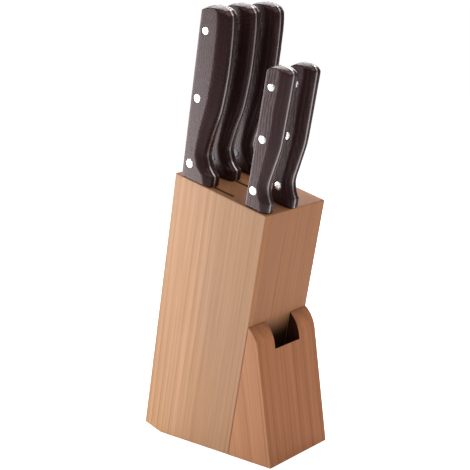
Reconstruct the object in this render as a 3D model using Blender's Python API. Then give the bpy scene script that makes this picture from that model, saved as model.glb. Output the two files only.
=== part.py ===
"""Leaning wooden knife block with five riveted full-tang knives. Blender 4.5, metres, +Z up.

The block is four boards glued over thin spacer strips, and the gaps between the strips are the knife slots.
A wedge-shaped foot is glued under the overhang and holds a pocket for scissors. The front is -Y.
Origin: the centre of the footprint, on the table.

Block frame: the empty "block_datum" stands on the top back edge and leans forward with the block. In it +Z
runs up the blades, -Y runs from the back face to the front face (called depth below), and X runs across.
Knife frame: an empty on each slot, where the handle's spine meets the block's top. Heights in it count up the
handle from the block's top, and widths count from the spine towards the cutting edge.
"""

import math

import bmesh
import bpy
from mathutils import Matrix, Vector

MM = 0.001

# Block
LEAN = math.radians(15.7)            # forward lean of the block and of the blades
BLOCK_LENGTH = 215 * MM              # along the back edge
BLOCK_DEPTH = 90 * MM                # back face to front face
OUTER_BOARD = 4.5 * MM
INNER_BOARD = 21.3 * MM
LAST_BOARD = 8.5 * MM
SPACER = 2.2 * MM
GLUE_LINE = 0.3 * MM                 # between any two glued faces
HEEL = 18.5 * MM                     # part of the lower end that stays square to the blades
SLOT_BACK = 4.5 * MM                 # depth at which the back row of slots starts
BACK_SLOT = 49 * MM                  # length of a slot of the back row, along the depth
SLOT_WALL = 14 * MM                  # wood between the two rows
FRONT_SLOT = 20 * MM

# Foot
FOOT_BASE = 42.7 * MM                # along the table
FOOT_LENGTH = 108.9 * MM             # from the table up to the foot's top, along the block's front face
FOOT_SLOPE = math.radians(3.4)       # of its front face, backwards from the vertical
SHOULDER_RADIUS = 24 * MM
SHOULDER_STEPS = 8
POCKET_WIDTH = 27 * MM
POCKET_DEPTH = 13.1 * MM             # square to the block's front face

# Knives
STEEL = 1.6 * MM                     # thickness of blade and tang
EDGE = 0.3 * MM                      # thickness left at the cutting edge
SCALE_GAP = 0.2 * MM                 # between tang and scale
SEAT_GAP = 0.3 * MM                  # between a handle and the block's top
SPINE_ROUND = 0.8 * MM
BELLY_BEVEL = 8.0 * MM               # width of the sloping band between a scale's flat face and the belly
BEVEL_DROP = 1.8 * MM
BELLY_CORNER = 2.2 * MM              # radius from that band round to the belly
BUTT_DOME = 1.6 * MM                 # drop of the butt from the tang out to the flat faces
RIVET_RADIUS = 3.2 * MM
RIVET_GAP = 0.2 * MM
RIVET_CHAMFER = 0.4 * MM
RIVET_SIDES = 20
NECK = 1.2 * MM                      # from the block's top down to the blade's heel
GRIND_START = 0.34                   # share of the blade's width where it starts to thin towards the edge
BLADE_POINTS = 6
BLADE_STEPS = 16

# A handle. The belly is (height, width) and the rivets are (height, width), both in millimetres. The half
# thickness is at the lower and the upper end, and the crown is the butt's highest width with its two drops.
LARGE_HANDLE = {
    "length": 127 * MM,
    "guard": (7.5 * MM, 27.6 * MM),
    "belly": ((7.5, 27.6), (10, 24.4), (14, 20.5), (22, 17.4), (35, 19.4), (60, 24.9), (88, 26.6),
              (112, 25.7), (122, 24.5), (125.5, 23.3), (127, 20.5)),
    "half": (6.4 * MM, 7.4 * MM),
    "rivets": ((12.2, 6.7), (60.8, 6.4), (109, 6.4)),
    "crown": (12.5 * MM, 4.0 * MM, 1.5 * MM),
}
SMALL_HANDLE = {
    "length": 102.3 * MM,
    "guard": (6.8 * MM, 18.8 * MM),
    "belly": ((6.8, 18.8), (9, 17.2), (13, 15.0), (18.5, 13.8), (31, 15.7), (52, 19.2), (76, 21.1),
              (91, 20.6), (98.5, 19.5), (101.2, 18.5), (102.3, 16.5)),
    "half": (5.2 * MM, 6.4 * MM),
    "rivets": ((13.2, 5.4), (51, 6.0), (88, 6.3)),
    "crown": (9.3 * MM, 3.2 * MM, 1.2 * MM),
}

# A knife: slot layer, depth of its spine, tilt in its slot, handle, and its blade's length, heel width and
# drops. The spine falls and the edge rises towards the tip, each as its drop times the way along to the given
# power.
KNIVES = {
    "chef": {"layer": 0, "spine": 6.8 * MM, "tilt": 0.0, "handle": LARGE_HANDLE, "length": 200 * MM,
             "heel": 44 * MM, "tip": 13 * MM, "spine_power": 3.0, "edge_power": 2.4},
    "bread": {"layer": 1, "spine": 5.6 * MM, "tilt": 0.0, "handle": LARGE_HANDLE, "length": 200 * MM,
              "heel": 31 * MM, "tip": 21 * MM, "spine_power": 5.0, "edge_power": 7.0},
    "carving": {"layer": 2, "spine": 6.8 * MM, "tilt": 0.0, "handle": LARGE_HANDLE, "length": 198 * MM,
                "heel": 29 * MM, "tip": 10 * MM, "spine_power": 4.0, "edge_power": 3.6},
    "utility": {"layer": 0, "spine": 69.1 * MM, "tilt": math.radians(1.3), "handle": SMALL_HANDLE,
                "length": 125 * MM, "heel": 15 * MM, "tip": 6 * MM, "spine_power": 3.0, "edge_power": 3.0},
    "paring": {"layer": 1, "spine": 71 * MM, "tilt": 0.0, "handle": SMALL_HANDLE, "length": 90 * MM,
               "heel": 15 * MM, "tip": 7 * MM, "spine_power": 2.6, "edge_power": 2.6},
}
BLADE_INSET = 0.7 * MM               # the blade's spine, in from the handle's

SLOT = SPACER + 2 * GLUE_LINE
BOARDS = (OUTER_BOARD, INNER_BOARD, INNER_BOARD, LAST_BOARD)
BLOCK_WIDTH = sum(BOARDS) + (len(BOARDS) - 1) * SLOT
FRONT_ROW = SLOT_BACK + BACK_SLOT + SLOT_WALL
GROUND_SPAN = (BLOCK_DEPTH - HEEL) / math.cos(LEAN)
FOOTPRINT = GROUND_SPAN + FOOT_BASE
FRONT_LENGTH = BLOCK_LENGTH - (BLOCK_DEPTH - HEEL) * math.tan(LEAN)
FOOT_TOP = FRONT_LENGTH - FOOT_LENGTH

WOOD = (0.62, 0.40, 0.25)
WOOD_DARK = (0.50, 0.30, 0.18)
HANDLE_WOOD = (0.09, 0.06, 0.06)
POLISHED = (0.80, 0.80, 0.80)


# ---------------------------------------------------------------- scene, materials and objects

def clear_scene():
    for obj in list(bpy.data.objects):
        bpy.data.objects.remove(obj, do_unlink=True)


def new_collection(name):
    collection = bpy.data.collections.new(name)
    bpy.context.scene.collection.children.link(collection)
    return collection


def material(name, colour, roughness, metallic=0.0):
    made = bpy.data.materials.new(name)
    made.use_nodes = True
    shader = made.node_tree.nodes["Principled BSDF"]
    shader.inputs["Base Color"].default_value = (*colour, 1)
    shader.inputs["Roughness"].default_value = roughness
    shader.inputs["Metallic"].default_value = metallic
    return made


def add(collection, name, data, parent=None, finish=None):
    obj = bpy.data.objects.new(name, data)
    collection.objects.link(obj)
    obj.parent = parent
    if finish:
        data.materials.append(finish)
    return obj


def helper(cutters, name, data, parent):
    obj = add(cutters, name, data, parent)
    obj.hide_render = True
    obj.display_type = "WIRE"
    return obj


def cut(obj, cutter):
    modifier = obj.modifiers.new("cut_" + cutter.name, "BOOLEAN")
    modifier.operation = "DIFFERENCE"
    modifier.object = cutter


# ---------------------------------------------------------------- shapes

def slab(name, outline, thickness):
    """A flat outline of (depth, height) points, extruded evenly to both sides of its plane across X."""
    curve = bpy.data.curves.new(name, "CURVE")
    curve.dimensions = "2D"
    curve.fill_mode = "BOTH"
    curve.extrude = thickness / 2
    spline = curve.splines.new("POLY")
    spline.points.add(len(outline) - 1)
    for point, (depth, height) in zip(spline.points, outline):
        point.co = (-depth, height, 0, 1)
    spline.use_cyclic_u = True
    return curve


def lay_across(obj, x):
    """Turns a slab so that its outline lies in the YZ plane, and moves it to x."""
    obj.rotation_euler = (math.pi / 2, 0, math.pi / 2)
    obj.location = (x, 0, 0)


def as_mesh(obj):
    """Makes a curve object a mesh with welded caps, in place, so that it can be cut."""
    bpy.context.view_layer.update()
    graph = bpy.context.evaluated_depsgraph_get()
    mesh = bpy.data.meshes.new_from_object(obj.evaluated_get(graph))
    work = bmesh.new()
    work.from_mesh(mesh)
    bmesh.ops.remove_doubles(work, verts=work.verts, dist=1e-6)
    bmesh.ops.recalc_face_normals(work, faces=work.faces)
    work.to_mesh(mesh)
    work.free()
    name, collection, parent, place = obj.name, obj.users_collection[0], obj.parent, obj.matrix_basis.copy()
    bpy.data.objects.remove(obj)
    made = add(collection, name, mesh, parent)
    made.matrix_basis = place
    return made


def loft(name, rings):
    """A closed solid through rings of the same number of points, with a flat cap on the first and last."""
    work = bmesh.new()
    rows = [[work.verts.new(point) for point in ring] for ring in rings]
    count = len(rows[0])
    for low, high in zip(rows, rows[1:]):
        for i in range(count):
            j = (i + 1) % count
            work.faces.new((low[i], low[j], high[j], high[i]))
    work.faces.new(rows[0])
    work.faces.new(rows[-1])
    bmesh.ops.recalc_face_normals(work, faces=work.faces)
    bmesh.ops.triangulate(work, faces=work.faces)
    mesh = bpy.data.meshes.new(name)
    work.to_mesh(mesh)
    work.free()
    mesh.shade_smooth()
    mesh.set_sharp_from_angle(angle=math.radians(35))
    return mesh


def box(name, low, high):
    mesh = bpy.data.meshes.new(name)
    work = bmesh.new()
    bmesh.ops.create_cube(work, size=1)
    low, high = Vector(low), Vector(high)
    bmesh.ops.transform(work, verts=work.verts,
                        matrix=Matrix.Translation((low + high) / 2) @ Matrix.Diagonal((*(high - low), 1)))
    work.to_mesh(mesh)
    work.free()
    return mesh


def pin(name, radius, length, chamfer=0.0):
    """A round pin along X, centred on its own origin."""
    mesh = bpy.data.meshes.new(name)
    work = bmesh.new()
    bmesh.ops.create_cone(work, cap_ends=True, segments=RIVET_SIDES, radius1=radius, radius2=radius,
                          depth=length, matrix=Matrix.Rotation(math.pi / 2, 4, "Y"))
    if chamfer:
        rims = [e for e in work.edges if abs(e.verts[0].co.x - e.verts[1].co.x) < length / 2]
        bmesh.ops.bevel(work, geom=rims, offset=chamfer, segments=1, affect="EDGES")
    work.to_mesh(mesh)
    work.free()
    mesh.shade_smooth()
    mesh.set_sharp_from_angle(angle=math.radians(35))
    return mesh


def smooth_through(points, at):
    """A curve through (position, value) points, without overshoot: Hermite spans with limited slopes."""
    spans = [(b[1] - a[1]) / (b[0] - a[0]) for a, b in zip(points, points[1:])]
    slopes = [spans[0]]
    for left, right in zip(spans, spans[1:]):
        slopes.append(0.0 if left * right <= 0 else 2 * left * right / (left + right))
    slopes.append(spans[-1])
    at = min(max(at, points[0][0]), points[-1][0])
    i = max(k for k in range(len(points) - 1) if points[k][0] <= at)
    step = points[i + 1][0] - points[i][0]
    t = (at - points[i][0]) / step
    return (points[i][1] * (1 + 2 * t) * (1 - t) ** 2 + slopes[i] * step * t * (1 - t) ** 2
            + points[i + 1][1] * t * t * (3 - 2 * t) + slopes[i + 1] * step * t * t * (t - 1))


# ---------------------------------------------------------------- block

def end_of(depth):
    """Distance from the block's top down to its lower end, which is level with the table past the heel."""
    return BLOCK_LENGTH - max(0.0, depth - HEEL) * math.tan(LEAN)


def strip_outline(start, end):
    """Side view of a board or spacer between two depths, from the block's top to its lower end."""
    outline = [(start, 0), (end, 0), (end, -end_of(end))]
    if start < HEEL < end:
        outline.append((HEEL, -BLOCK_LENGTH))
    outline.append((start, -end_of(start)))
    return outline


def layer_x(layer):
    """Middle of a slot layer across the block."""
    left = -BLOCK_WIDTH / 2 + sum(BOARDS[: layer + 1]) + layer * SLOT
    return left + SLOT / 2


def make_strip(parts, datum, name, start, end, thickness, x, finish):
    obj = add(parts, name, slab(name, strip_outline(start, end), thickness), datum, finish)
    lay_across(obj, x)


def make_boards(parts, datum, finish):
    left = -BLOCK_WIDTH / 2
    for name, thickness in zip(("board_left", "board_mid_left", "board_mid_right", "board_right"), BOARDS):
        make_strip(parts, datum, name, 0, BLOCK_DEPTH, thickness, left + thickness / 2, finish)
        left += thickness + SLOT


def make_spacers(parts, datum, finish):
    """Strips between the boards, which leave the slots free: a layer with no front slot has one strip less."""
    for layer, side in enumerate(("left", "mid", "right")):
        rows = [("back", 0, SLOT_BACK)]
        if any(k["layer"] == layer and k["spine"] > FRONT_ROW for k in KNIVES.values()):
            rows.append(("middle", SLOT_BACK + BACK_SLOT, FRONT_ROW))
            rows.append(("front", FRONT_ROW + FRONT_SLOT, BLOCK_DEPTH))
        else:
            rows.append(("front", SLOT_BACK + BACK_SLOT, BLOCK_DEPTH))
        for row, start, end in rows:
            make_strip(parts, datum, f"spacer_{side}_{row}", start, end, SPACER, layer_x(layer), finish)


# ---------------------------------------------------------------- foot

def foot_outline():
    """Side view in the block frame: table corners, sloping front, and a shoulder arc up to the block."""
    to_block = Matrix.Rotation(LEAN, 2)
    back = BLOCK_DEPTH + GLUE_LINE
    heel = Vector((back, -FRONT_LENGTH + GLUE_LINE * math.tan(LEAN)))
    level = to_block @ Vector((1, 0))
    toe = heel + level * (FOOT_BASE - GLUE_LINE / math.cos(LEAN))
    up_front = to_block @ Vector((-math.sin(FOOT_SLOPE), math.cos(FOOT_SLOPE)))
    inward = Vector((-up_front.y, up_front.x))
    # The arc is tangent to the front face and meets the block's face at the foot's top.
    top = Vector((back, -FOOT_TOP))
    along, aside = (top - toe).dot(up_front), (top - toe).dot(inward)
    reach = math.sqrt(SHOULDER_RADIUS ** 2 - (SHOULDER_RADIUS - aside) ** 2)
    centre = toe + up_front * (along - reach) + inward * SHOULDER_RADIUS
    turn = math.asin(reach / SHOULDER_RADIUS)
    outline = [heel, toe]
    for i in range(SHOULDER_STEPS + 1):
        angle = turn * i / SHOULDER_STEPS
        outline.append(centre - inward * SHOULDER_RADIUS * math.cos(angle) + up_front * SHOULDER_RADIUS
                       * math.sin(angle))
    return outline


def make_foot(parts, cutters, datum, finish):
    curve = slab("foot", [(p.x, p.y) for p in foot_outline()], BLOCK_WIDTH)
    foot = add(parts, "foot", curve, datum)
    lay_across(foot, 0)
    foot = as_mesh(foot)
    foot.data.shade_flat()
    foot.data.materials.append(finish)
    half, past = POCKET_WIDTH / 2, 10 * MM
    pocket = box("pocket", (-half, -BLOCK_DEPTH - POCKET_DEPTH, -BLOCK_LENGTH - past),
                 (half, -BLOCK_DEPTH + past, -FOOT_TOP + past))
    cut(foot, helper(cutters, "pocket", pocket, datum))


# ---------------------------------------------------------------- knives

def belly(handle, height):
    """Width of the handle at a height above its lower end: an upright guard face, then the belly's curve."""
    guard_height, guard_width = handle["guard"]
    if height < guard_height:
        return guard_width
    return smooth_through(handle["belly"], height / MM) * MM


def crown(handle, width):
    """Height of the butt end at a width: two half parabolas that meet at its highest point."""
    peak, spine_drop, belly_drop = handle["crown"]
    if width < peak:
        return handle["length"] - spine_drop * ((peak - width) / peak) ** 2
    belly_end = handle["belly"][-1][1] * MM
    return handle["length"] - belly_drop * ((width - peak) / (belly_end - peak)) ** 2


def half_thickness(handle, height):
    low, high = handle["half"]
    return low + (high - low) * height / handle["length"]


def heights(handle):
    """Stations up a handle, closer together round the guard and at the butt."""
    low = [0, handle["guard"][0] * 0.96, handle["guard"][0]]
    bends = [p[0] * MM for p in handle["belly"][1:]]
    middles = [(a + b) / 2 for a, b in zip(bends[2:], bends[3:])]
    return sorted(low + bends + middles)


def place_on(handle, height, x, width, half):
    """A point of a handle's section: the sections bend with height until the last one follows the butt."""
    butt = crown(handle, width) - BUTT_DOME * (x / half) ** 2
    return (x, -width, SEAT_GAP + height / handle["length"] * (butt - SEAT_GAP))


def scale_ring(handle, height, side):
    """Section of one scale: flat on the tang and outside, then a sloping band and a corner to the belly."""
    inner, outer = STEEL / 2 + SCALE_GAP, half_thickness(handle, height)
    width, corner, rest = belly(handle, height), BELLY_CORNER, 1 - math.sqrt(0.5)
    low = outer - BEVEL_DROP
    section = [(0, inner), (0, outer - SPINE_ROUND), (SPINE_ROUND * rest, outer - SPINE_ROUND * rest),
               (SPINE_ROUND, outer), (width - BELLY_BEVEL, outer), (width - corner, low),
               (width - corner * rest, low - corner * rest), (width, low - corner), (width, inner)]
    return [place_on(handle, height, side * x, w, outer) for w, x in section]


def steel_ring(start, end, half, edge_half, height):
    """Section of blade or tang between two widths. height is a function of the width."""
    ring = []
    for i in range(BLADE_POINTS + 1):
        share = i / BLADE_POINTS
        width = start + (end - start) * share
        ground = max(0.0, share - GRIND_START) / (1 - GRIND_START)
        thick = half + (edge_half - half) * ground
        ring.append((thick, -width, height(width)))
    return ring + [(-x, y, z) for x, y, z in reversed(ring)]


def tang_ring(handle, height):
    return steel_ring(0, belly(handle, height), STEEL / 2, STEEL / 2,
                      lambda width: place_on(handle, height, 0, width, 1)[2])


def blade_ring(knife, way):
    """Section of the blade at a share of the way from heel to tip: full at the spine, ground to the edge."""
    spine = BLADE_INSET + (knife["tip"] - BLADE_INSET) * way ** knife["spine_power"]
    edge = knife["heel"] - (knife["heel"] - knife["tip"]) * way ** knife["edge_power"]
    edge = max(edge, spine + 4 * EDGE)
    height = -NECK - (knife["length"] - NECK) * way
    return steel_ring(spine, edge, STEEL / 2 * (1 - 0.5 * way), EDGE / 2, lambda width: height)


def make_blade(name, knife):
    """Blade and tang in one piece of steel, from the tip up to the butt."""
    rings = [blade_ring(knife, math.sin(math.pi / 2 * i / BLADE_STEPS)) for i in range(BLADE_STEPS, -1, -1)]
    neck_end = min(belly(knife["handle"], 0), knife["heel"]) - BLADE_INSET
    rings.append(steel_ring(BLADE_INSET, neck_end, STEEL / 2, STEEL / 2, lambda width: SEAT_GAP / 2))
    rings += [tang_ring(knife["handle"], h) for h in heights(knife["handle"])]
    return loft(name, rings)


def make_knife(parts, cutters, datum, name, knife, finishes):
    place = bpy.data.objects.new(name + "_knife", None)
    parts.objects.link(place)
    place.parent = datum
    handle = knife["handle"]
    lift = handle["guard"][1] * math.sin(knife["tilt"])
    place.location = (layer_x(knife["layer"]), -knife["spine"], lift)
    place.rotation_euler = (knife["tilt"], 0, 0)
    blade = add(parts, name + "_blade", make_blade(name + "_blade", knife), place, finishes["steel"])
    scales = []
    for side, label in ((-1, "left"), (1, "right")):
        rings = [scale_ring(handle, h, side) for h in heights(handle)]
        scale = f"{name}_scale_{label}"
        scales.append(add(parts, scale, loft(scale, rings), place, finishes["handle"]))
    for row, (height, width) in zip(("lower", "middle", "upper"), handle["rivets"]):
        spot = (0, -width * MM, height * MM)
        length = 2 * half_thickness(handle, height * MM)
        rivet = f"{name}_rivet_{row}"
        head = add(parts, rivet, pin(rivet, RIVET_RADIUS, length, RIVET_CHAMFER), place, finishes["rivet"])
        head.location = spot
        bore = pin(rivet + "_hole", RIVET_RADIUS + RIVET_GAP, 2 * length)
        hole = helper(cutters, rivet + "_hole", bore, place)
        hole.location = spot
        for piece in (blade, *scales):
            cut(piece, hole)


# ---------------------------------------------------------------- the object

def main():
    clear_scene()
    parts = new_collection("knife_block")
    cutters = new_collection("cutters")
    wood = material("block_wood", WOOD, 0.5)
    spacer_wood = material("spacer_wood", WOOD_DARK, 0.55)
    finishes = {
        "steel": material("blade_steel", POLISHED, 0.25, 1.0),
        "rivet": material("rivet_steel", POLISHED, 0.15, 1.0),
        "handle": material("handle_wood", HANDLE_WOOD, 0.35),
    }
    datum = bpy.data.objects.new("block_datum", None)
    parts.objects.link(datum)
    # From the footprint's back edge up the square heel, then up the back edge.
    datum.location = (
        0,
        FOOTPRINT / 2 + HEEL * math.cos(LEAN) - BLOCK_LENGTH * math.sin(LEAN),
        HEEL * math.sin(LEAN) + BLOCK_LENGTH * math.cos(LEAN),
    )
    datum.rotation_euler = (LEAN, 0, 0)
    make_boards(parts, datum, wood)
    make_spacers(parts, datum, spacer_wood)
    make_foot(parts, cutters, datum, wood)
    for name, knife in KNIVES.items():
        make_knife(parts, cutters, datum, name, knife, finishes)


main()
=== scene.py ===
import math

import bmesh
import bpy
import numpy as np
from mathutils import Matrix, Vector


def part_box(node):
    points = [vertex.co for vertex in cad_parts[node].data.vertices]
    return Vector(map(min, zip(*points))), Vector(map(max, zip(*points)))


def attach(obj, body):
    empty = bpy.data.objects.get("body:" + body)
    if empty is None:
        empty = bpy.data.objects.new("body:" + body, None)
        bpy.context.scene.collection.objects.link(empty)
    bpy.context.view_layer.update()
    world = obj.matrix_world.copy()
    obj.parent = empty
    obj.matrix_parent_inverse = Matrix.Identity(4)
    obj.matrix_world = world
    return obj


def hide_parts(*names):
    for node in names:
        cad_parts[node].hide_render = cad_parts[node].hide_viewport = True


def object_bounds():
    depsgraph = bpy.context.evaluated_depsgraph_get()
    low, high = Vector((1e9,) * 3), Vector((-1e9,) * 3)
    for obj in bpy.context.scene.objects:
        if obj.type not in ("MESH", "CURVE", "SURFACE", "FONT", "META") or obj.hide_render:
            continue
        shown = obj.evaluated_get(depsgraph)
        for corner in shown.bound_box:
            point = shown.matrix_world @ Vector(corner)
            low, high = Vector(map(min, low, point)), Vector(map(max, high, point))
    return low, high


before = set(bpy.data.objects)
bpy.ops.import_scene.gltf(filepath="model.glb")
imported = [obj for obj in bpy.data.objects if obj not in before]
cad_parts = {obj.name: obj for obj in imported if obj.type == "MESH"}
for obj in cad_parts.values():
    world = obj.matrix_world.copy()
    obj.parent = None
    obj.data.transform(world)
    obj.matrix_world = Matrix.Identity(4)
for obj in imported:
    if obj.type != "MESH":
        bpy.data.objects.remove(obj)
cad_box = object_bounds()


# ------------------------------------------------------------------------------------------------ the boards
# The block is four boards of reddish softwood, sawn from one blank and glued back in their order, so that the
# growth rings run on from board to board. They lean forward together and are cut level with the table at the
# bottom, apart from a short heel at the back. A satin lacquer covers the outside.

lean = math.radians(15.7)
block_length = 0.215
block_depth = 0.090
heel = 0.0185
edge_round = 0.0009
back_low, back_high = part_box("board_left")
top_edge = np.array([0.0, back_high.y - block_length * math.sin(lean), back_high.z])
forward = np.array([0.0, -math.cos(lean), -math.sin(lean)])
upward = np.array([0.0, -math.sin(lean), math.cos(lean)])


def in_block(x, depth, height):
    """World points of the leaning block: its top back edge, plus x across, depth down its slope towards the
    front and height up its length."""
    x, depth, height = np.broadcast_arrays(x, depth, height)
    sideways = np.array([1.0, 0.0, 0.0])
    return top_edge + x[..., None] * sideways + depth[..., None] * forward + height[..., None] * upward


def eased_outline(corners, radius, steps=5, lead=0.0006):
    """An outline with its corners rounded, as bases and directions: a point is its base plus the radius times
    its direction, so a smaller radius draws the same outline in. Each corner's arc has a lead-in point on
    each side."""
    corners = np.asarray(corners, float)
    arriving = corners - np.roll(corners, 1, axis=0)
    leaving = np.roll(corners, -1, axis=0) - corners
    arriving /= np.linalg.norm(arriving, axis=1, keepdims=True)
    leaving /= np.linalg.norm(leaving, axis=1, keepdims=True)
    first = np.stack([arriving[:, 1], -arriving[:, 0]], axis=1)
    last = np.stack([leaving[:, 1], -leaving[:, 0]], axis=1)
    centre = corners - radius * (first + last) / (1 + (first * last).sum(axis=1, keepdims=True))
    start = np.arctan2(first[:, 1], first[:, 0])
    turn = np.arctan2(first[:, 0] * last[:, 1] - first[:, 1] * last[:, 0], (first * last).sum(axis=1))
    angle = start[:, None] + turn[:, None] * np.linspace(0, 1, steps)
    arc = np.stack([np.cos(angle), np.sin(angle)], axis=2)
    base = np.concatenate([(centre - lead * arriving)[:, None], np.repeat(centre[:, None], steps, axis=1),
                           (centre + lead * leaving)[:, None]], axis=1)
    direction = np.concatenate([first[:, None], arc, last[:, None]], axis=1)
    return base.reshape(-1, 2), direction.reshape(-1, 2)


def skin(name, rings, crease=40):
    """A closed surface over rings of equal length: quads between neighbouring rings, and a flat cap on the
    first and the last. Points that meet are merged."""
    count, around = rings.shape[:2]
    here = np.arange(around)
    beside = np.roll(here, -1)
    row = (np.arange(count - 1) * around)[:, None]
    quads = np.stack([row + here, row + beside, row + around + beside, row + around + here], axis=2)
    caps = [here[::-1].tolist(), (here + (count - 1) * around).tolist()]
    mesh = bpy.data.meshes.new(name)
    mesh.from_pydata(rings.reshape(-1, 3), [], quads.reshape(-1, 4).tolist() + caps)
    work = bmesh.new()
    work.from_mesh(mesh)
    bmesh.ops.remove_doubles(work, verts=work.verts, dist=1e-6)
    bmesh.ops.dissolve_degenerate(work, edges=work.edges, dist=1e-7)
    bmesh.ops.recalc_face_normals(work, faces=work.faces)
    work.to_mesh(mesh)
    work.free()
    mesh.shade_smooth()
    mesh.set_sharp_from_angle(angle=math.radians(crease))
    piece = bpy.data.objects.new(name, mesh)
    bpy.context.scene.collection.objects.link(piece)
    return piece


def carried_across(name, outline, radius, stations):
    """A side outline carried along X: each station is an x and how far the outline is drawn in there."""
    base, direction = outline
    x, drawn = np.array(stations).T
    ring = base + (radius - drawn)[:, None, None] * direction
    inside = base.mean(axis=0) + 0.985 * (base - base.mean(axis=0))
    outlines = np.concatenate([inside[None], ring, inside[None]])
    x = np.concatenate([x[:1], x, x[-1:]])
    return skin(name, in_block(x[:, None], outlines[..., 0], outlines[..., 1]))


def end_height(depth):
    """Height of the lower end at a depth: square to the boards over the heel, then level with the table."""
    return -block_length + max(0.0, depth - heel) * math.tan(lean)


def edge_stations(x, side, radius, steps=6):
    """The stations that round an outer face into the outline: a quarter circle inwards from its plane."""
    angle = np.linspace(0, math.pi / 2, steps)
    stations = [(x - side * radius * (1 - math.cos(a)), radius * (1 - math.sin(a))) for a in angle]
    return stations if side < 0 else stations[::-1]


class Wire:
    """An output socket in a material's nodes. Arithmetic on it adds Math nodes, and node() adds any other."""

    def __init__(self, tree, socket=None):
        self.tree = tree
        self.socket = socket

    def node(self, kind, settings=None, inputs=None, out=0):
        """Adds a node of that kind. The settings are its properties, or a ramp's stops, and are set first.
        The inputs are values or wires by the socket's name or number. Returns the wire of one output."""
        made = self.tree.nodes.new(kind)
        for key, value in (settings or {}).items():
            if key == "stops":
                ramp = made.color_ramp
                while len(ramp.elements) < len(value):
                    ramp.elements.new(0.5)
                for stop, (position, level) in zip(ramp.elements, value):
                    stop.position = position
                    stop.color = (level, level, level, 1)
            else:
                setattr(made, key, value)
        for key, value in (inputs or {}).items():
            if isinstance(value, Wire):
                self.tree.links.new(value.socket, made.inputs[key])
            else:
                made.inputs[key].default_value = value
        return Wire(self.tree, made.outputs[out])

    def maths(self, operation, *values):
        return self.node("ShaderNodeMath", {"operation": operation}, dict(enumerate(values)))

    def __add__(self, other):
        return self.maths("ADD", self, other)

    def __radd__(self, other):
        return self.maths("ADD", other, self)

    def __sub__(self, other):
        return self.maths("SUBTRACT", self, other)

    def __rsub__(self, other):
        return self.maths("SUBTRACT", other, self)

    def __mul__(self, other):
        return self.maths("MULTIPLY", self, other)

    def __truediv__(self, other):
        return self.maths("DIVIDE", self, other)

    def __abs__(self):
        return self.maths("ABSOLUTE", self)

    def noise(self, stretch, detail=2.0, roughness=0.5):
        """Noise over this vector wire, stretched by a factor for each axis."""
        scaled = self.times(stretch)
        inputs = {"Vector": scaled, "Scale": 1.0, "Detail": detail, "Roughness": roughness}
        return self.node("ShaderNodeTexNoise", {"noise_dimensions": "3D"}, inputs, out="Fac")

    def ranged(self, low, high, at_low=0.0, at_high=1.0, smooth=False):
        """This wire's value, mapped from one range to another and held at the ends."""
        inputs = {"Value": self, "From Min": low, "From Max": high, "To Min": at_low, "To Max": at_high}
        kind = "SMOOTHSTEP" if smooth else "LINEAR"
        return self.node("ShaderNodeMapRange", {"interpolation_type": kind}, inputs)

    def axis(self, letter):
        """One component of this vector wire."""
        return self.node("ShaderNodeSeparateXYZ", None, {0: self}, out=letter)

    def times(self, factors):
        """This vector or colour wire times a factor for each component."""
        return self.node("ShaderNodeVectorMath", {"operation": "MULTIPLY"}, {0: self, 1: factors})

    def shifted(self, offset):
        """This vector wire moved by an offset."""
        return self.node("ShaderNodeVectorMath", {"operation": "ADD"}, {0: self, 1: offset})

    def length(self):
        """The length of this vector wire."""
        return self.node("ShaderNodeVectorMath", {"operation": "LENGTH"}, {0: self}, out="Value")

    def relief(self, strength, distance):
        """The surface normal, bumped by this wire as a height."""
        inputs = {"Strength": strength, "Distance": distance, "Height": self}
        return self.node("ShaderNodeBump", None, inputs, out="Normal")

    def mix(self, first, second):
        """A colour between two colours, by this wire."""
        return self.node("ShaderNodeMix", {"data_type": "RGBA"}, {0: self, 6: first, 7: second}, out=2)

    def tint(self, amount):
        """This colour wire times a number wire."""
        return self.node("ShaderNodeVectorMath", {"operation": "SCALE"}, {0: self, "Scale": amount})


def new_material(name, **constants):
    """A material with a Principled shader whose named sockets hold these constants."""
    material = bpy.data.materials.new(name)
    material.use_nodes = True
    shader = material.node_tree.nodes["Principled BSDF"]
    for key, value in constants.items():
        shader.inputs[key.replace("_", " ")].default_value = value
    return material, Wire(material.node_tree), shader


def join(wire, shader, key):
    wire.tree.links.new(wire.socket, shader.inputs[key])


def from_edge(start, tilt, depth=0.0):
    """Object coordinates turned to wood that leans by a tilt: Z is along its length, and the origin is the
    block's top back edge, or lies at a depth in front of it."""
    origin = Matrix.Rotation(-tilt, 3, "X") @ Vector(top_edge) - Vector((0.0, depth, 0.0))
    place = start.node("ShaderNodeTexCoord", out="Object")
    return start.node("ShaderNodeMapping", {"vector_type": "POINT"},
                      {"Vector": place, "Location": tuple(-origin), "Rotation": (-tilt, 0.0, 0.0)})


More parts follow.
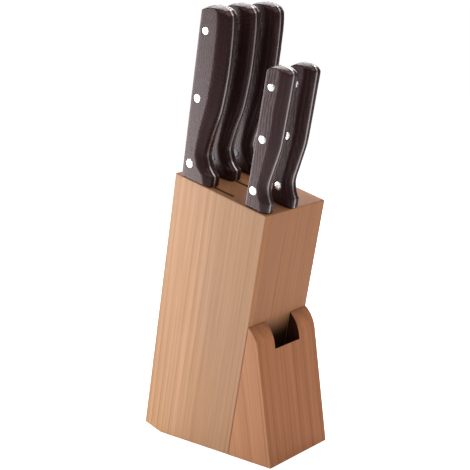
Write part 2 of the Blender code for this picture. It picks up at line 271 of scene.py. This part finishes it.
def timber(name, tilt, pith, spacing, colours, contrast=1.0, end_grain_and_shade=0.60, flat_contrast=0.35, heartwood=0.84,
           pocket=0.0, narrow_face_tone_and_shade=(1.20, 0.94, 0.78), seed=0.0):
    """Lacquered softwood. Growth rings are cylinders round a pith line: the distance to that line, bent by
    slow noise, is cut into rings that darken slowly and end sharply. Fine fibres run along the line. Wood
    near the pith takes its own brightness. The faces that cut across the line are end grain, darker partly as
    end grain is and partly as painted shade. The narrow faces take a deeper, redder tone than the broad
    ones, partly their own edge grain and partly painted shade. Where a pocket covers the front, painted
    shade darkens the wood towards the bottom."""
    material, start, shader = new_material(name, IOR=1.24)
    light, warm, dark = colours
    local = from_edge(start, tilt)
    grain = local.shifted((0.0, 0.0, seed))
    height, backwards, sideways = local.axis("Z"), local.axis("Y"), local.axis("X")

    # Rings: the distance from the pith, in years, less its whole part.
    from_pith = start.node("ShaderNodeVectorMath", {"operation": "MULTIPLY_ADD"},
                           {0: local, 1: (1.0, 1.0, 0.0), 2: (-pith[0], pith[1], 0.0)})
    away = from_pith.length()
    bend = grain.noise((11.0, 11.0, 2.6), 1.0) - 0.5
    ripple = grain.noise((70.0, 70.0, 9.0), 2.0) - 0.5
    year = (away + bend * 0.006 + ripple * 0.0014) / spacing
    uneven = year.node("ShaderNodeCombineXYZ", None, {"X": year * 0.55}).noise((1.0, 1.0, 1.0), 1.0) - 0.5
    age = year + uneven * 0.9
    ring = age.maths("FRACT", age)
    stops = ((0.0, 0.34), (0.06, 0.04), (0.50, 0.08), (0.82, 0.34), (0.94, 1.00), (1.0, 0.34))
    late = ring.node("ShaderNodeValToRGB", {"stops": stops}, {"Fac": ring})

    # The rings fade where they lie flat in the face. Towards the top they fade as well: painted sheen,
    # standing in for the lacquer's reflection washing them out there.
    patchy = grain.noise((22.0, 22.0, 2.4), 1.0).ranged(0.36, 0.66, 0.35 * contrast, 0.90 * contrast)
    flat_sawn = away.ranged(0.038, 0.052, flat_contrast, 1.0)
    strong = patchy * flat_sawn * height.ranged(-0.19, -0.03, 1.0, 0.5)
    broad = grain.noise((16.0, 16.0, 7.0), 1.5)
    pale = broad.ranged(0.35, 0.65).mix((*light, 1), (*warm, 1))
    colour = (late * strong).mix(pale, (*dark, 1))

    # Each kind of face: broad, narrow, end grain, and the front behind the pocket. The narrow faces' deeper
    # tone is partly their own edge grain and partly painted shade, the end grain's darkness is partly its own
    # and partly painted shade on the top, and the front behind the pocket takes painted shade.
    normal = start.node("ShaderNodeTexCoord", out="Normal")
    # Partly painted shade: faces that don't face sideways take a deeper, redder tone, partly their own edge
    # grain and partly standing in for the softer light there.
    colour = abs(normal.axis("X")).ranged(0.3, 0.9).mix(colour.times(narrow_face_tone_and_shade), colour)
    along = start.node("ShaderNodeVectorMath", {"operation": "DOT_PRODUCT"},
                       {0: normal, 1: (0.0, -math.sin(tilt), math.cos(tilt))}, out="Value")
    across = abs(along).ranged(0.25, 0.95)
    # Painted shade: within the pocket's width, the front behind the scissors pocket darkens towards the
    # bottom.
    between = abs(sideways).ranged(0.0133, 0.0138, 1.0, 0.0)
    below = height.ranged(-0.104, -0.081, pocket, 0.0, smooth=True)
    front = backwards.ranged(-block_depth, 0.001 - block_depth, 1.0, 0.0)

    fibre = grain.noise((1400.0, 1400.0, 26.0), 3.0, 0.6)
    streak = grain.noise((480.0, 480.0, 6.0), 2.0, 0.55)
    shade = 0.61 + fibre * 0.30 + streak * 0.48
    # The end grain, the top most of all, is darkened partly as end grain is and partly as painted shade; the
    # pocket mask adds painted shade as well.
    shade = shade * (1.0 - across * (1.0 - end_grain_and_shade)) * (1.0 - between * below * front)
    join(colour.tint(shade * away.ranged(0.037, 0.052, heartwood, 1.0)), shader, "Base Color")
    join(0.40 + fibre * 0.12 + late * 0.05 + across * 0.15, shader, "Roughness")
    join((fibre * 0.35 + streak * 0.35 + late * 0.3).relief(0.35, 0.00012), shader, "Normal")
    return material


pine = (0.462, 0.262, 0.156), (0.472, 0.260, 0.136), (0.265, 0.125, 0.062)
# Near-black pine for the faces that line the knife slots: painted shade inside the slots.
slot_shade_pine = (0.16, 0.065, 0.032), (0.17, 0.070, 0.034), (0.08, 0.030, 0.014)
ring_width = 0.0052
# The pith, from the block's middle and from its back. It moves on a little with each saw cut.
pith_across = 0.0057
pith_step = 0.0008
pith_depth = 0.068
# How far painted shade darkens the block's front down inside the scissors pocket.
pocket_shade_amount = 0.93
block_sides = [(0, 0), (0, end_height(0)), (heel, end_height(heel)), (block_depth, end_height(block_depth)),
               (block_depth, 0)]
block_outline = eased_outline(block_sides, edge_round)
glue = 0.00012
slot_shade_wood = timber("slot_shade_pine", lean, (pith_across, pith_depth), ring_width, slot_shade_pine)
boards = "board_left", "board_mid_left", "board_mid_right", "board_right"
for number, node in enumerate(boards):
    low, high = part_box(node)
    left, right = low.x - glue, high.x + glue
    stations = [(left, 0.0), (right, 0.0)]
    if node == boards[0]:
        stations = edge_stations(low.x, -1, edge_round) + stations[1:]
        left = -math.inf
    if node == boards[-1]:
        stations = stations[:1] + edge_stations(high.x, 1, edge_round)
        right = math.inf
    board = carried_across(node + "_wood", block_outline, edge_round, stations)
    pith = (pith_across + pith_step * number, pith_depth)
    board.data.materials.append(timber(node + "_pine", lean, pith, ring_width, pine, pocket=pocket_shade_amount))
    board.data.materials.append(slot_shade_wood)
    # The glued faces, which line the slots, take the near-black slot colours: painted shade inside the slots.
    for face in board.data.polygons:
        glued = min(abs(face.center.x - left), abs(face.center.x - right)) < 1e-5
        face.material_index = 1 if glued else 0
    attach(board, "block")
    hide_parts(node)


# ----------------------------------------------------------------------------------------------- the spacers
# Thin strips of the same wood are glued between the boards. What they leave open are the knife slots, which
# run through from the top of the block to its lower end.

layers = {"left": ("back", "middle", "front"), "mid": ("back", "middle", "front"), "right": ("back", "front")}
row_fronts = {"back": 0.0045, "middle": 0.0675, "front": block_depth}
slot_round = 0.0003
spacer_pith = (0.007, pith_depth)
for layer, rows in layers.items():
    for row in rows:
        node = f"spacer_{layer}_{row}"
        low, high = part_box(node)
        # A strip's top corners give its depths: its highest point is its back one.
        near = (top_edge[2] - high.z) / math.sin(lean)
        front = row_fronts[row]
        corners = [(near, 0), (near, end_height(near))]
        if near < heel < front:
            corners.append((heel, end_height(heel)))
        corners += [(front, end_height(front)), (front, 0)]
        radius = edge_round if row != "middle" else slot_round
        strip = carried_across(node + "_wood", eased_outline(corners, radius), radius,
                               [(low.x - glue, 0.0), (high.x + glue, 0.0)])
        strip.data.materials.append(timber(node + "_pine", lean, spacer_pith, ring_width, pine,
                                           pocket=pocket_shade_amount, seed=0.3))
        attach(strip, "block")
        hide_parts(node)


# -------------------------------------------------------------------------------------------------- the foot
# A wedge of the same wood, glued under the overhang so that the block stands. Its shoulder is rounded back to
# the block. A wide groove, sawn down its back before gluing, is the pocket for a pair of scissors.

foot_low, foot_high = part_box("foot")
foot_slope = math.radians(3.4)
foot_base = 0.0427
foot_top = 0.086
shoulder_radius = 0.024
pocket_half = 0.0135
pocket_deep = 0.0131


def foot_sides():
    """Side outline in the block's depth and height: from the table's back corner to the toe, up the sloping
    front, round the shoulder's arc and onto the block. The arc touches the front and ends on the block."""
    turn = np.array([[math.cos(lean), -math.sin(lean)], [math.sin(lean), math.cos(lean)]])
    glue_line = 0.0002
    back = block_depth + glue_line
    heel_corner = np.array([back, end_height(block_depth) + glue_line * math.tan(lean)])
    toe = heel_corner + turn @ np.array([foot_base - glue_line, 0.0])
    rise = turn @ np.array([-math.sin(foot_slope), math.cos(foot_slope)])
    inward = np.array([-rise[1], rise[0]])
    top = np.array([back, -foot_top])
    reach = math.sqrt(shoulder_radius ** 2 - (shoulder_radius - (top - toe) @ inward) ** 2)
    centre = toe + rise * ((top - toe) @ rise - reach) + inward * shoulder_radius
    angle = np.linspace(0, math.asin(reach / shoulder_radius), 24)
    arc = centre + shoulder_radius * (np.sin(angle)[:, None] * rise - np.cos(angle)[:, None] * inward)
    return heel_corner, toe, rise, arc


heel_corner, toe, rise, arc = foot_sides()
wall = block_depth + pocket_deep
sill = toe + rise * ((wall - toe[0]) / rise[0])
ground = (toe - heel_corner) / np.linalg.norm(toe - heel_corner)
groove_foot = heel_corner + ground * ((wall - heel_corner[0]) / ground[0])
whole = np.vstack([heel_corner, groove_foot, toe, sill, arc[1:] if sill[1] > arc[0][1] else arc])
count = len(whole)
foot_x = np.array([foot_low.x, -pocket_half, pocket_half, foot_high.x])
points = in_block(foot_x[:, None], whole[:, 0], whole[:, 1]).reshape(-1, 3)
faces = [list(range(count))[::-1], [3 * count + i for i in range(count)]]
for left in (0, 2):
    faces += [[left * count + i, left * count + (i + 1) % count, (left + 1) * count + (i + 1) % count,
               (left + 1) * count + i] for i in range(count)]
faces += [[count + a, count + b, 2 * count + b, 2 * count + a] for a, b in ((1, 2), (2, 3), (3, 1))]
for side in (1, 2):
    faces.append([side * count + i for i in (3, *range(4, count), 0, 1)])
mesh = bpy.data.meshes.new("foot_wood")
mesh.from_pydata(points, [], faces)
work = bmesh.new()
work.from_mesh(mesh)
bmesh.ops.recalc_face_normals(work, faces=work.faces)
work.to_mesh(mesh)
work.free()
mesh.shade_smooth()
foot = bpy.data.objects.new("foot_wood", mesh)
bpy.context.scene.collection.objects.link(foot)
softened = foot.modifiers.new("softened", "BEVEL")
softened.width = 0.0007
softened.segments = 3
softened.limit_method = "ANGLE"
softened.angle_limit = math.radians(38)
softened.harden_normals = True
foot_pine = (0.42, 0.195, 0.098), (0.45, 0.212, 0.108), (0.24, 0.092, 0.044)
# Near-black pine: painted shade on the groove's floor and walls, deep in the pocket.
pocket_shade_colours = (0.045, 0.015, 0.007), (0.050, 0.017, 0.008), (0.02, 0.007, 0.003)
foot_pith = (0.062, 0.010)
foot.data.materials.append(timber("foot_pine", -foot_slope, foot_pith, 0.0071, foot_pine, contrast=0.8,
                                  end_grain_and_shade=0.42, flat_contrast=1.0, heartwood=1.16, narrow_face_tone_and_shade=(1.05, 0.90, 0.80),
                                  seed=0.7))
foot.data.materials.append(timber("shaded_pocket_pine", -foot_slope, foot_pith, 0.0056, pocket_shade_colours, seed=0.7))
# The last three faces are the groove's floor and its two walls. They take the near-black pocket colours:
# painted shade deep in the pocket.
for face in mesh.polygons[-3:]:
    face.material_index = 1
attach(foot, "block")
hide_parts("foot")


# ----------------------------------------------------------------------------------------------- the handles
# Each knife has two scales of dark resin-filled hardwood, riveted through the tang. The outer face is flat
# and curves down in a band along the belly, which swells, narrows to a finger groove and ends in a guard.
# The butt is slightly domed. The scales are sanded flush with the tang and polished to a low gloss.

mm = 0.001
# Each kind of handle, in millimetres but for its length. Along the height: the belly's distance from the
# spine, the width of the band, its drop below the flat face and the radius of its corner. "guard" is the
# width over the guard, "half" is half the thickness at the two ends, and "crown" is where across the width
# the butt peaks, and its drop at the spine and at the belly.
large = {
    "length": 127 * mm, "guard": 27.6,
    "belly": ((0, 31.5), (4, 29.9), (7.5, 27.9), (10, 24.4), (14, 20.5), (22, 17.4), (35, 19.4), (60, 24.9),
              (88, 26.6), (112, 25.7), (122, 24.5), (125.5, 23.3), (127, 20.5)),
    "band": ((0, 6.0), (4, 7.2), (10, 9.4), (15, 8.4), (24, 7.6), (38, 8.8), (60, 10.2), (127, 9.4)),
    "drop": ((0, 1.8), (14, 1.8), (60, 2.0), (127, 2.0)),
    "corner": ((0, 1.4), (14, 1.8), (30, 2.6), (60, 3.4), (127, 3.4)),
    "half": (6.4, 7.4), "crown": (12.5, 4.0, 1.5),
}
small = {
    "length": 102.3 * mm, "guard": 18.8,
    "belly": ((0, 22.0), (4, 20.4), (6.8, 19.0), (9, 17.2), (13, 15.0), (18.5, 13.8), (31, 15.7), (52, 19.2),
              (76, 21.1), (91, 20.6), (98.5, 19.5), (101.2, 18.5), (102.3, 16.5)),
    "band": ((0, 4.9), (4, 5.8), (9, 7.2), (15, 6.3), (22, 6.1), (38, 7.0), (60, 7.7), (102.3, 7.3)),
    "drop": ((0, 1.3), (12, 1.4), (50, 1.8), (102.3, 1.8)),
    "corner": ((0, 1.2), (12, 1.5), (26, 2.0), (50, 2.6), (102.3, 2.6)),
    "half": (5.2, 6.4), "crown": (9.3, 3.2, 1.2),
}
# Each knife: its handle, the depth of its spine in the block, and its tilt in the slot.
knives = {
    "chef": (large, 6.8 * mm, 0.0),
    "bread": (large, 5.6 * mm, 0.0),
    "carving": (large, 6.8 * mm, 0.0),
    "utility": (small, 69.1 * mm, math.radians(1.3)),
    "paring": (small, 71.0 * mm, 0.0),
}
seat = 0.3 * mm
tang_half = 0.8 * mm


def eased(knots, at):
    """Values of a smooth curve through (position, value) knots. Each span is a cubic whose end slopes are the
    harmonic means of the neighbouring spans' slopes, so the curve never overshoots."""
    x, y = np.array(knots, float).T
    step = np.diff(x)
    span = np.diff(y) / step
    product = span[1:] * span[:-1]
    total = np.where(product > 0, span[1:] + span[:-1], 1.0)
    slope = np.concatenate([span[:1], np.where(product > 0, 2 * product / total, 0.0), span[-1:]])
    i = np.clip(np.searchsorted(x, at) - 1, 0, len(step) - 1)
    t = np.clip((at - x[i]) / step[i], 0, 1)
    return (y[i] * (1 + 2 * t) * (1 - t) ** 2 + slope[i] * step[i] * t * (1 - t) ** 2
            + y[i + 1] * t * t * (3 - 2 * t) + slope[i + 1] * step[i] * t * t * (t - 1))


def belly(handle, height):
    """Width of a handle at a height, in metres: the belly's curve, held back to the guard's face by a smooth
    minimum that rounds the guard's tip."""
    curve = eased(handle["belly"], height / mm)
    flush = handle["guard"]
    return 0.5 * (curve + flush - np.sqrt((curve - flush) ** 2 + 0.35)) * mm


def half_thickness(handle, height):
    low, high = handle["half"]
    return (low + (high - low) * height / handle["length"]) * mm


def butt_height(handle, width, x, half):
    """Height of the butt: two half parabolas over the width that meet at its crown, less a dome over x."""
    peak, spine_drop, belly_drop = (value * mm for value in handle["crown"])
    last = handle["belly"][-1][1] * mm
    towards = np.where(width < peak, spine_drop * ((peak - width) / peak) ** 2,
                       belly_drop * ((width - peak) / (last - peak)) ** 2)
    return handle["length"] - towards - 1.6 * mm * (x / half) ** 2


def in_knife(name, x, width, height):
    """World points of a knife: x across, width from its spine to the edge, height up from the block's top."""
    handle, spine, tilt = knives[name]
    low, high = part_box(name + "_blade")
    lift = handle["guard"] * mm * math.sin(tilt)
    depth = spine + width * math.cos(tilt) + height * math.sin(tilt)
    return in_block((low.x + high.x) / 2 + x, depth, lift - width * math.sin(tilt) + height * math.cos(tilt))


def scale_rings(handle, heights, drawn, inner):
    """Sections of a scale, one row for each height, drawn in by a distance: along the tang, round the spine's
    corner, over the flat, down the band's parabola and round the belly's corner back to the tang."""
    width = (belly(handle, heights) - 2 * drawn)[:, None]
    outer = (half_thickness(handle, heights) - drawn)[:, None]
    band = np.minimum(eased(handle["band"], heights / mm)[:, None] * mm, width * 0.45)
    spine_round = np.maximum(0.8 * mm - drawn, 0.2 * mm)[:, None]
    corner = np.maximum(eased(handle["corner"], heights / mm) * mm - drawn, 0.3 * mm)[:, None]
    drop = eased(handle["drop"], heights / mm)[:, None] * mm
    unit = np.linspace(0, 1, 9)
    arc = unit * math.pi / 2
    slope = np.arctan2(2 * drop, band - corner)
    face = np.array([0.12, 0.3, 0.5, 0.7, 0.86, 0.95, 1.0])
    slant = np.array([0.08, 0.18, 0.3, 0.42, 0.56, 0.7, 0.85, 1.0])
    turned = slope + (math.pi / 2 - slope) * unit
    low = outer - drop
    flat = width - band
    ease = 0.25 * mm
    wide = [
        ease + (width - 2 * ease) * (1 - unit),
        0 * width * unit[:3],
        spine_round * (1 - np.cos(arc)),
        spine_round + (flat - spine_round) * face,
        flat + (band - corner) * slant,
        width - corner * (1 - np.sin(turned[:, 1:])),
        width + 0 * unit[1:],
    ]
    thick = [
        inner + 0 * width * unit,
        inner + ease + (outer - spine_round - inner - ease) * unit[:3],
        outer - spine_round * (1 - np.sin(arc)),
        outer + 0 * width * face,
        outer - drop * slant ** 2,
        low - corner * (np.cos(slope) - np.cos(turned[:, 1:])),
        low - corner * np.cos(slope) + (inner + ease - low + corner * np.cos(slope)) * unit[1:],
    ]
    return np.concatenate(wide, axis=1) + drawn[:, None], np.concatenate(thick, axis=1)


def scale_piece(name, knife, side):
    """One scale: rows up the handle that close in at both ends, then smaller rows over the domed butt."""
    handle = knives[knife][0]
    length = handle["length"]
    inner = tang_half + 0.05 * mm
    arc = np.linspace(0, math.pi / 2, 6)
    foot_edge, butt_edge = 0.8 * mm, 0.4 * mm
    body = np.concatenate([np.linspace(foot_edge, 12 * mm, 34), np.linspace(12.6 * mm, length - 7 * mm, 70),
                           np.linspace(length - 6.7 * mm, length - butt_edge, 22)])
    heights = np.concatenate([foot_edge * (1 - np.cos(arc[:-1])), body,
                              length - butt_edge * (1 - np.sin(arc[1:]))])
    drawn = np.concatenate([foot_edge * (1 - np.sin(arc[:-1])), 0 * body, butt_edge * (1 - np.cos(arc[1:]))])
    width, thick = scale_rings(handle, heights, drawn, inner)
    half = half_thickness(handle, heights)[:, None]
    rise = seat + heights[:, None] / length * (butt_height(handle, width, thick, half) - seat)
    # Over the butt the last row shrinks towards a line in the middle of the scale.
    shrink = np.array([0.93, 0.8, 0.6, 0.4, 0.2, 0.08])[:, None]
    middle = np.clip(width[-1], 5 * mm, width[-1].max() - 5 * mm)
    cap_width = middle + (width[-1] - middle) * shrink
    cap_thick = thick[-1].mean() + (thick[-1] - thick[-1].mean()) * shrink
    cap_rise = butt_height(handle, cap_width, cap_thick, half[-1])
    inset = 0.93
    floor_width = middle.mean() + (width[:1] - middle.mean()) * inset
    floor_thick = thick[0].mean() + (thick[:1] - thick[0].mean()) * inset
    width = np.concatenate([floor_width, width, cap_width])
    thick = np.concatenate([floor_thick, thick, cap_thick])
    rise = np.concatenate([rise[:1], rise, cap_rise])
    return skin(name, in_knife(knife, side * thick, width, rise), crease=50)


def handle_wood(name, knife, offset, arch, gloss):
    """Dark resin-filled hardwood, semi-gloss. The rings are stretched circles about a line across the handle,
    so they draw nested arches on the flat faces. Fine fibres and short dark pores lie along the grain."""
    material, start, shader = new_material(name, IOR=gloss, Specular_Tint=(1.0, 0.80, 0.82, 1.0))
    local = from_edge(start, lean, knives[knife][1])
    grain = local.shifted((offset, offset * 0.7, offset))
    stretched = start.node("ShaderNodeVectorMath", {"operation": "MULTIPLY_ADD"},
                           {0: local, 1: (0.35, 1.0, arch[2]), 2: (0.0, arch[0], -arch[1] * arch[2])})
    bend = grain.noise((60.0, 60.0, 24.0), 1.5) - 0.5
    ripple = grain.noise((240.0, 240.0, 160.0), 1.0) - 0.5
    year = (stretched.length() + bend * 0.006 + ripple * 0.0002) / 0.0022
    ring = year.maths("FRACT", year)
    stops = ((0.0, 0.75), (0.2, 0.15), (0.5, 0.25), (0.85, 0.9), (1.0, 0.75))
    late = ring.node("ShaderNodeValToRGB", {"stops": stops}, {"Fac": ring})
    fibre = grain.noise((2600.0, 2600.0, 70.0), 3.0, 0.6)
    dash = grain.noise((1900.0, 1900.0, 140.0), 1.0).ranged(0.60, 0.72)
    cloud = grain.noise((55.0, 55.0, 16.0), 2.0)
    level = late * 0.5 + cloud * 0.5 + fibre * 0.3 - 0.25
    colour = level.mix((0.048, 0.019, 0.019, 1), (0.004, 0.0015, 0.0015, 1))
    join(colour.tint(1.0 - dash * 0.5), shader, "Base Color")
    join(0.15 + level * 0.30 + dash * 0.2, shader, "Roughness")
    join((fibre * 0.5 - dash - late * 0.4).relief(0.3, 0.00006), shader, "Normal")
    return material


# Where each handle's arches are centred, as width and height, and how they are squeezed along the height.
arches = {"chef": (0.030, 0.100, 0.80), "bread": (0.036, 0.070, 0.60), "carving": (0.040, 0.115, 0.50),
          "utility": (0.034, 0.060, 0.16), "paring": (0.030, 0.120, 0.20)}
# How much each handle shines, as an index of refraction.
shine = {"chef": 1.34, "bread": 1.30, "carving": 1.30, "utility": 1.46, "paring": 1.32}
for number, knife in enumerate(knives):
    wood = handle_wood(knife + "_handle_wood", knife, 0.013 * number, arches[knife], shine[knife])
    for side, label in ((-1, "left"), (1, "right")):
        scale = scale_piece(f"{knife}_grip_{label}", knife, side)
        scale.data.materials.append(wood)
        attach(scale, knife + "_knife")
        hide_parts(f"{knife}_scale_{label}")


# ------------------------------------------------------------------------------------------ blades and tangs
# Each blade is one piece of stainless steel with its full tang, which shows as a bright line round the
# handle. The faces are ground thin from a third of the width down to the edge and brushed across, and the
# last millimetre is a sharpened bevel. The bread knife's edge is scalloped.

# Each blade, in millimetres: length, width at the heel, drop of the tip from the spine, and the powers with
# which the spine falls and the edge rises along the way to the tip.
blades = {
    "chef": (200, 44, 13, 3.0, 2.4),
    "bread": (200, 31, 21, 5.0, 7.0),
    "carving": (198, 29, 10, 4.0, 3.6),
    "utility": (125, 15, 6, 3.0, 3.0),
    "paring": (90, 15, 7, 2.6, 2.6),
}

# Stations from spine to edge, as shares of the width. The faces are ground from a third of it on.
grind_start = 0.34
across_steel = np.concatenate([np.linspace(0, grind_start, 5), np.linspace(0.42, 0.93, 9),
                               [0.955, 0.985, 1.0]])


def steel_rows(start, end, half, edge_half, height, bevel):
    """Sections of steel between two widths: full thickness, then thinning from a third of the width, then a
    narrow bevel to the edge. The rows run down one face and back up the other."""
    start, end, half, edge_half, bevel = (value[:, None] for value in (start, end, half, edge_half, bevel))
    width = start + (end - start) * across_steel
    ground = np.clip((across_steel - grind_start) / (1 - grind_start), 0, 1)
    thick = half + (edge_half - half) * ground
    to_edge = np.clip((end - width) / bevel, 0, 1)
    thick = np.minimum(thick, edge_half * 0.25 + (half - edge_half * 0.25) * to_edge)
    return (np.concatenate([thick, -thick[:, ::-1]], axis=1), np.concatenate([width, width[:, ::-1]], axis=1),
            np.concatenate([height, height[:, ::-1]], axis=1))


def blade_piece(name, knife):
    """Rows from the tip to the heel, a step in to the tang, and rows up the tang to the butt, where the last
    ones follow the handle's crown."""
    handle = knives[knife][0]
    length, heel_width, tip, spine_power, edge_power = blades[knife]
    steps = 420 if knife == "bread" else 90
    way = np.sin(np.linspace(math.pi / 2, 0, steps))
    spine = (0.7 + (tip - 0.7) * way ** spine_power) * mm
    edge = (heel_width - (heel_width - tip) * way ** edge_power) * mm
    if knife == "bread":
        along = way * length
        edge = edge - 1.0 * mm * (1 - np.abs(np.sin(math.pi * along / 7))) * np.clip((along - 12) / 6, 0, 1)
    edge = np.maximum(edge, spine + 0.8 * mm)
    fall = -(1.2 + (length - 1.2) * way) * mm
    level = fall[:, None] + 0 * across_steel
    blade = steel_rows(spine, edge, tang_half * (1 - 0.45 * way), 0.16 * mm + 0 * way, level,
                       1.3 * mm + 0 * way)
    neck = np.zeros(2)
    neck_end = min(handle["guard"], heel_width) * mm - 0.7 * mm
    neck_level = np.array([-1.15 * mm, 0.5 * seat])[:, None] + 0 * across_steel
    necks = steel_rows(neck + 0.7 * mm, neck + neck_end, neck + tang_half, neck + tang_half, neck_level,
                       neck + 0.2 * mm)
    tall = handle["length"]
    heights = np.concatenate([np.linspace(0, 14 * mm, 36), np.linspace(15 * mm, tall - 6 * mm, 60),
                              np.linspace(tall - 5.7 * mm, tall, 20)])
    tang_end = belly(handle, heights)
    wide = tang_end[:, None] * across_steel
    tang_level = seat + heights[:, None] / tall * (butt_height(handle, wide, 0.0, 1.0) - seat)
    full = tang_half + 0 * heights
    tang = steel_rows(0 * heights, tang_end, full, full, tang_level, 0.15 * mm + 0 * heights)
    rows = [np.concatenate(parts) for parts in zip(blade, necks, tang)]
    return skin(name, in_knife(knife, *rows), crease=30)


def brushed_steel(name):
    """Stainless steel, brushed across: fine lines from spine to edge vary the roughness and the bump. The
    tang, above the top of the block when the knife is in, is dulled by the handle's resin."""
    material, start, shader = new_material(name, Metallic=1.0)
    place = start.node("ShaderNodeTexCoord", out="Object")
    local = start.node("ShaderNodeMapping", {"vector_type": "POINT"},
                       {"Vector": place, "Rotation": (-lean, 0.0, 0.0)})
    lines = local.noise((900.0, 60.0, 5200.0), 2.0, 0.6)
    cloud = local.noise((30.0, 30.0, 30.0), 2.0)
    tone = (lines * 0.5 + cloud * 0.5).mix((0.56, 0.555, 0.55, 1), (0.42, 0.415, 0.41, 1))
    tang_start = (Matrix.Rotation(-lean, 3, "X") @ Vector(top_edge)).z
    handled = local.axis("Z").ranged(tang_start, tang_start + 2 * mm)
    join(handled.mix(tone, tone.times((0.80, 0.69, 0.68))), shader, "Base Color")
    join(0.24 + lines * 0.14 + cloud * 0.06, shader, "Roughness")
    join(lines.relief(0.12, 0.00003), shader, "Normal")
    return material


steel = brushed_steel("brushed_steel")
for knife in knives:
    blade = blade_piece(knife + "_steel", knife)
    blade.data.materials.append(steel)
    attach(blade, knife + "_knife")
    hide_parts(knife + "_blade")


# ------------------------------------------------------------------------------------------------ the rivets
# Three solid rivets go through both scales and the tang of each knife. Their heads are ground off flush with
# the flat faces and polished bright.

def turned_pin(name, centre, radius, half):
    """A pin along X, turned: a profile of distances along X and radii, carried round the X axis."""
    profile = np.array([(-1, 0.0), (-1, 0.5), (-0.998, 0.85), (-0.985, 0.97), (-0.965, 1.0), (0.965, 1.0),
                        (0.985, 0.97), (0.998, 0.85), (1, 0.5), (1, 0.0)])
    angle = np.linspace(0, 2 * math.pi, 48, endpoint=False)
    x = centre.x + half * profile[:, :1] + 0 * angle
    y = centre.y + radius * profile[:, 1:] * np.cos(angle)
    z = centre.z + radius * profile[:, 1:] * np.sin(angle)
    return skin(name, np.stack([x, y, z], axis=2), crease=40)


def polished(name, light):
    """Rivet steel with faint turning marks, of a given lightness: polished bright, or near-black as painted
    shade.
    """
    material, start, shader = new_material(name, Metallic=1.0)
    place = start.node("ShaderNodeTexCoord", out="Object")
    haze = place.noise((700.0, 700.0, 700.0), 2.0)
    dim = 0.9 * light
    join(haze.mix((light, light, light, 1), (dim, dim, 0.91 * light, 1)), shader, "Base Color")
    join(0.16 + haze * 0.14, shader, "Roughness")
    return material


bright = polished("rivet_steel", 0.93)
# Near-black rivet steel: painted shade on rivet heads deep between the handles.
rivet_in_shade = polished("shaded_rivet_steel", 0.035)
for knife in knives:
    for row in ("lower", "middle", "upper"):
        node = f"{knife}_rivet_{row}"
        low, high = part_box(node)
        rivet = turned_pin(f"{knife}_pin_{row}", (low + high) / 2, 3.4 * mm, (high.x - low.x) / 2 + 0.04 * mm)
        # The lowest rivets between the large handles take near-black steel: painted shade in the narrow gap
        # between the handles.
        between_handles = knife in ("bread", "carving") and row == "lower"
        rivet.data.materials.append(rivet_in_shade if between_handles else bright)
        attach(rivet, knife + "_knife")
        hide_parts(node)


# ----------------------------------------------------------------------------------- table, light and camera
# A plain pale table under a white sky. Bright panels stand close at the back left and the back right, so that
# the left faces and the far edges shine, and the front stays in softer light.

floor_mesh = bpy.data.meshes.new("table_top")
reach, drop = 6, -0.0003
floor_corners = (-reach, -reach, drop), (reach, -reach, drop), (reach, reach, drop), (-reach, reach, drop)
floor_mesh.from_pydata(floor_corners, [], [(0, 1, 2, 3)])
floor = bpy.data.objects.new("table_top", floor_mesh)
bpy.context.scene.collection.objects.link(floor)
table_paint, start, shader = new_material("table_paint", Base_Color=(0.8, 0.8, 0.8, 1), Roughness=0.9,
                                          Emission_Strength=1.0)
glow = start.node("ShaderNodeLightPath", out="Is Camera Ray").mix((0, 0, 0, 1), (0.80, 0.80, 0.80, 1))
join(glow, shader, "Emission Color")
floor.data.materials.append(table_paint)

middle = (cad_box[0] + cad_box[1]) / 2


def panel(name, azimuth, elevation, distance, size, radiance):
    """A soft light panel round the object, facing its middle. Azimuth 0 is in front and -90 is at the left.
    The size is its width and its height."""
    data = bpy.data.lights.new(name, "AREA")
    data.shape = "RECTANGLE"
    data.size, data.size_y = size
    data.energy = 4 * radiance * size[0] * size[1]
    lamp = bpy.data.objects.new(name, data)
    bpy.context.scene.collection.objects.link(lamp)
    a, e = math.radians(azimuth), math.radians(elevation)
    outward = Vector((math.sin(a) * math.cos(e), -math.cos(a) * math.cos(e), math.sin(e)))
    lamp.location = middle + distance * outward
    lamp.rotation_euler = (lamp.location - middle).to_track_quat("Z", "Y").to_euler()


panel("panel_back_left", -151.5, 2, 0.62, (0.40, 0.42), 8.0)
panel("panel_right", 112, 16, 0.90, (0.70, 0.70), 2.6)
panel("panel_high_back", 135, 56, 1.00, (0.70, 0.70), 4.0)
panel("panel_high_left", -80, 50, 1.10, (0.80, 0.80), 1.35)
panel("panel_high_front", 20, 50, 1.10, (0.80, 0.80), 1.8)

world = bpy.data.worlds.new("white_sky")
world.use_nodes = True
sky = world.node_tree.nodes["Background"]
sky.inputs["Color"].default_value = (1, 1, 1, 1)
seen = Wire(world.node_tree).node("ShaderNodeLightPath", out="Is Camera Ray")
join(seen * 0.75 + 0.25, sky, "Strength")
bpy.context.scene.world = world
bpy.context.scene.view_settings.view_transform = "Standard"

camera = bpy.data.cameras.new("camera")
camera.sensor_width = 36
camera.lens = 84.2
camera.clip_start = 0.01
eye = bpy.data.objects.new("camera", camera)
bpy.context.scene.collection.objects.link(eye)
azimuth, elevation, roll = (math.radians(value) for value in (-45.82, 12.62, -3.68))
back = Vector((math.sin(azimuth) * math.cos(elevation), -math.cos(azimuth) * math.cos(elevation),
               math.sin(elevation)))
level = (-back).cross(Vector((0, 0, 1))).normalized()
above = level.cross(-back)
rightward = math.cos(roll) * level + math.sin(roll) * above
upright = math.cos(roll) * above - math.sin(roll) * level
aim = middle + Vector((-0.0205, -0.0181, 0.0031))
pose = Matrix((rightward, upright, back)).transposed().to_4x4()
pose.translation = aim + back * 0.786
eye.matrix_world = pose
bpy.context.scene.camera = eye
